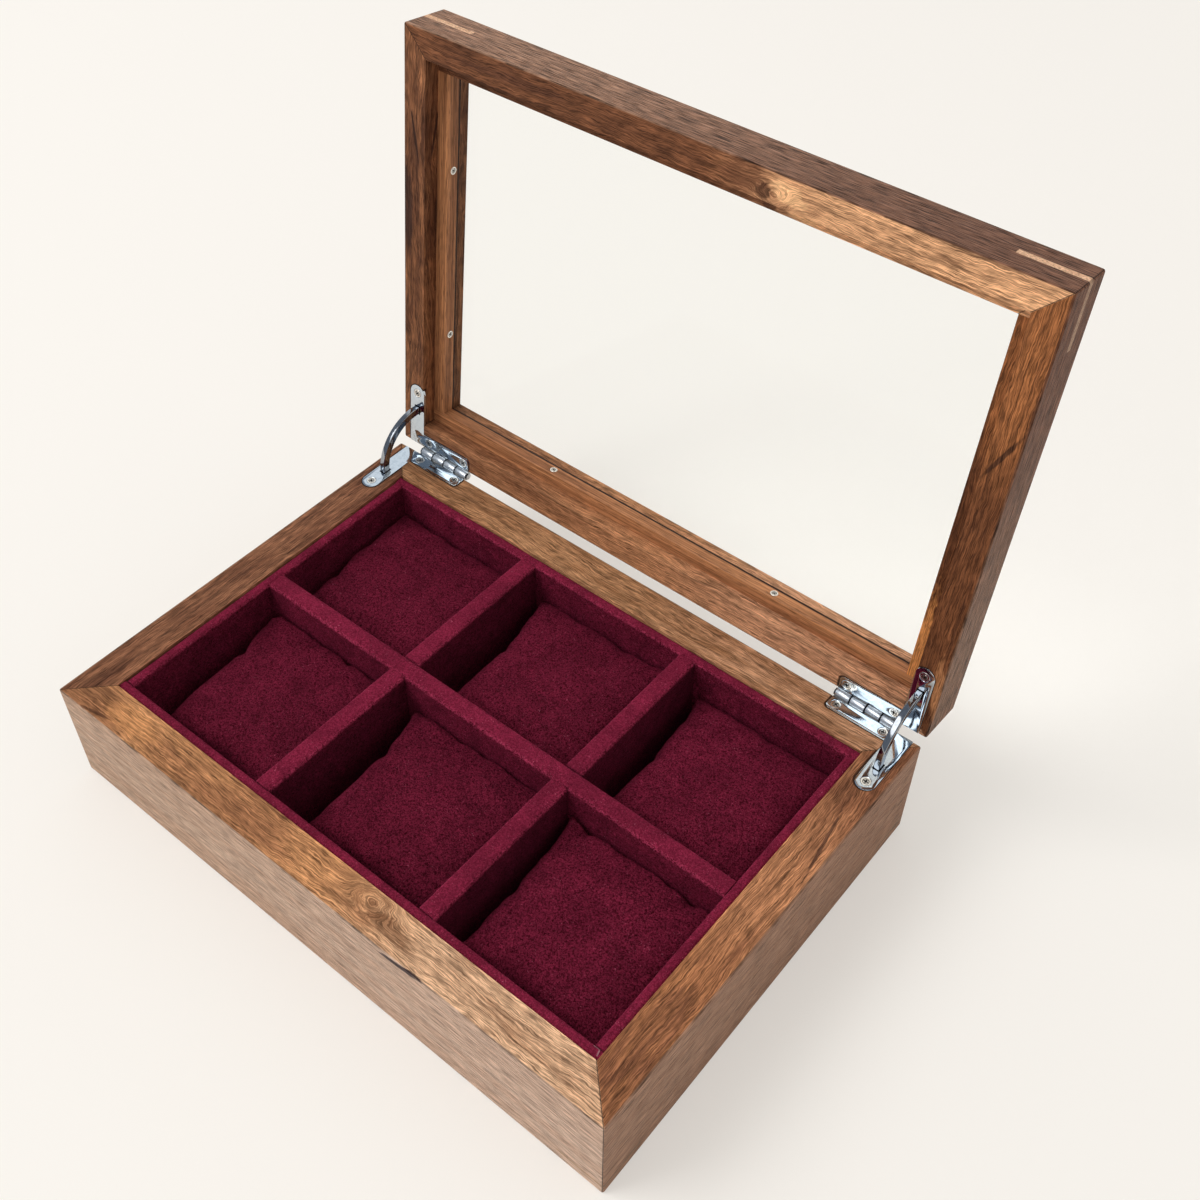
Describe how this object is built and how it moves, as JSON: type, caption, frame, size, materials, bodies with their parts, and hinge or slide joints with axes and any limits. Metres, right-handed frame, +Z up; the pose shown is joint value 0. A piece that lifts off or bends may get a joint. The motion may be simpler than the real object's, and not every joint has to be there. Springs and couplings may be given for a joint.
{
  "type": "watch box",
  "caption": "Hinged wooden box with a glass lid and a fabric-lined tray of cushioned compartments for watches.",
  "frame": {"origin": "centre of the base's underside, on the surface that it rests on", "axes": "+X to the right seen from the front, +Y to the hinge side, +Z up"},
  "size_m": [0.3, 0.2596, 0.2646],
  "materials": {
    "walnut": "oiled walnut, straight to wavy grain",
    "maple": "pale maple key, flush sanded",
    "plywood": "walnut-faced board",
    "velvet": "burgundy velvet glued over board",
    "cushion_velvet": "burgundy velvet, sewn and stuffed",
    "clear_glass": "clear polished pane",
    "chrome": "bright chrome plate",
    "screw_steel": "nickel-plated cross-slot screws"
  },
  "bodies": {
    "base": {"base_front_wall": "walnut", "base_back_wall": "walnut", "base_left_wall": "walnut", "base_right_wall": "walnut", "base_corner_keys": "maple", "base_bottom_panel": "plywood", "tray_floor": "velvet", "tray_liner_front": "velvet", "tray_liner_back": "velvet", "tray_liner_left": "velvet", "tray_liner_right": "velvet", "tray_long_divider": "velvet", "tray_short_divider_left": "velvet", "tray_short_divider_right": "velvet", "hinge_base_leaf_left": "chrome", "hinge_base_leaf_right": "chrome", "hinge_pin_left": "chrome", "hinge_pin_right": "chrome", "hinge_base_screws": "screw_steel"},
    "lid": {"lid_front_rail": "walnut", "lid_back_rail": "walnut", "lid_left_stile": "walnut", "lid_right_stile": "walnut", "lid_corner_keys": "maple", "glass_pane": "clear_glass", "glass_strip_front": "walnut", "glass_strip_back": "walnut", "glass_strip_left": "walnut", "glass_strip_right": "walnut", "glass_strip_screws": "screw_steel", "hinge_lid_leaf_left": "chrome", "hinge_lid_leaf_right": "chrome", "hinge_lid_screws": "screw_steel"},
    "stay_arm_left": {"stay_arm_left": "chrome"},
    "stay_arm_right": {"stay_arm_right": "chrome"},
    "cushion_front_left": {"cushion_front_left": "cushion_velvet"},
    "cushion_front_middle": {"cushion_front_middle": "cushion_velvet"},
    "cushion_front_right": {"cushion_front_right": "cushion_velvet"},
    "cushion_back_left": {"cushion_back_left": "cushion_velvet"},
    "cushion_back_middle": {"cushion_back_middle": "cushion_velvet"},
    "cushion_back_right": {"cushion_back_right": "cushion_velvet"}
  },
  "joints": [
    {"name": "lid_hinge", "type": "hinge", "parent": "base", "child": "lid", "pos_m": [0, 0.1066, 0.0556], "axis": [-1, 0, 0], "range_deg": [-97, 0]},
    {"name": "stay_arm_left_turn", "type": "hinge", "parent": "base", "child": "stay_arm_left", "pos_m": [0, 0.1066, 0.0556], "axis": [-1, 0, 0], "range_deg": [-48.5, 0]},
    {"name": "stay_arm_right_turn", "type": "hinge", "parent": "base", "child": "stay_arm_right", "pos_m": [0, 0.1066, 0.0556], "axis": [-1, 0, 0], "range_deg": [-48.5, 0]},
    {"name": "cushion_front_left_lift", "type": "slide", "parent": "base", "child": "cushion_front_left", "axis": [0, 0, 1], "range_m": [0, 0.06]},
    {"name": "cushion_front_middle_lift", "type": "slide", "parent": "base", "child": "cushion_front_middle", "axis": [0, 0, 1], "range_m": [0, 0.06]},
    {"name": "cushion_front_right_lift", "type": "slide", "parent": "base", "child": "cushion_front_right", "axis": [0, 0, 1], "range_m": [0, 0.06]},
    {"name": "cushion_back_left_lift", "type": "slide", "parent": "base", "child": "cushion_back_left", "axis": [0, 0, 1], "range_m": [0, 0.06]},
    {"name": "cushion_back_middle_lift", "type": "slide", "parent": "base", "child": "cushion_back_middle", "axis": [0, 0, 1], "range_m": [0, 0.06]},
    {"name": "cushion_back_right_lift", "type": "slide", "parent": "base", "child": "cushion_back_right", "axis": [0, 0, 1], "range_m": [0, 0.06]}
  ],
  "couplings": [
    {"joint": "stay_arm_left_turn", "follows": "lid_hinge", "ratio": 0.5},
    {"joint": "stay_arm_right_turn", "follows": "lid_hinge", "ratio": 0.5}
  ]
}
